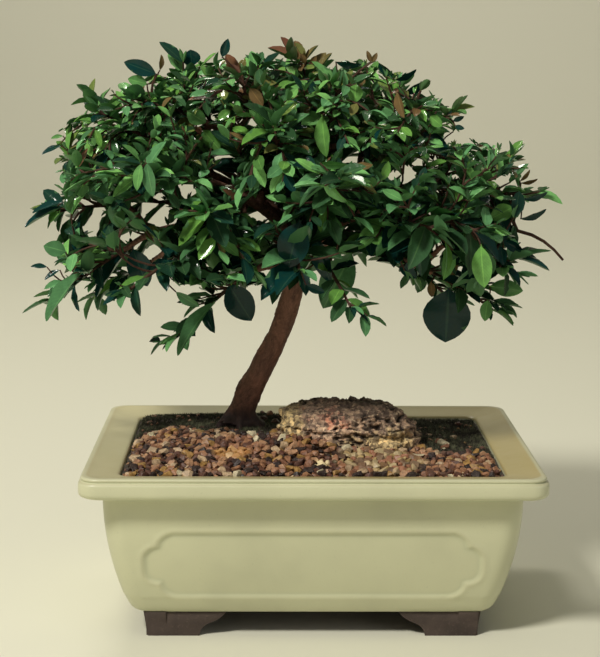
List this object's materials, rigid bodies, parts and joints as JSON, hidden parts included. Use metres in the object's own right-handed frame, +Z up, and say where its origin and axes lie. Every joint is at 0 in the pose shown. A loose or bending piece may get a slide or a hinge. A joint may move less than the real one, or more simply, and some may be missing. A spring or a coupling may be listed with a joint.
{
  "type": "brush cherry bonsai",
  "caption": "Small leaning bonsai tree with an umbrella crown of glossy paired leaves, planted beside a weathered stone in gravel, in a rectangular glazed pot on bracket feet.",
  "frame": {"origin": "bottom centre of the whole object's box, on the plane of the foot soles", "axes": "+Z up, -Y towards the pictured front, +X along the pot's length to the viewer's right"},
  "size_m": [0.2608, 0.1866, 0.2673],
  "materials": {
    "glaze": "satin",
    "bare_clay": "matte",
    "screen": "matte",
    "soil": "matte",
    "gravel": "matte",
    "stone": "matte",
    "bark": "matte",
    "leaf": "satin",
    "young_leaf": "satin"
  },
  "bodies": {
    "root": {"pot": "glaze", "drain_screen_left": "screen", "drain_screen_right": "screen", "soil": "soil", "stone": "stone", "trunk": "bark", "spray_01": "leaf", "spray_02": "leaf", "spray_03": "leaf", "spray_04": "leaf", "spray_05": "leaf", "spray_06": "leaf", "spray_07": "leaf", "spray_08": "leaf", "spray_09": "leaf", "spray_10": "leaf", "spray_11": "leaf", "spray_12": "leaf", "spray_13": "leaf", "spray_14": "leaf", "spray_15": "leaf", "spray_16": "leaf", "spray_17": "leaf", "spray_18": "leaf", "spray_19": "leaf", "spray_20": "leaf", "spray_21": "leaf", "spray_22": "leaf", "spray_23": "leaf", "spray_24": "leaf", "spray_25": "leaf", "spray_26": "leaf", "spray_27": "leaf", "spray_28": "leaf", "spray_29": "leaf", "spray_30": "leaf", "spray_31": "leaf", "spray_32": "leaf", "spray_33": "leaf", "spray_34": "leaf", "spray_35": "leaf", "spray_36": "leaf", "spray_37": "leaf", "spray_38": "leaf", "spray_39": "leaf", "spray_40": "leaf", "spray_41": "leaf", "spray_42": "leaf", "spray_43": "leaf", "spray_44": "leaf", "spray_45": "leaf", "young_shoot_1": "young_leaf", "young_shoot_2": "young_leaf", "young_shoot_3": "young_leaf"}
  },
  "joints": []
}
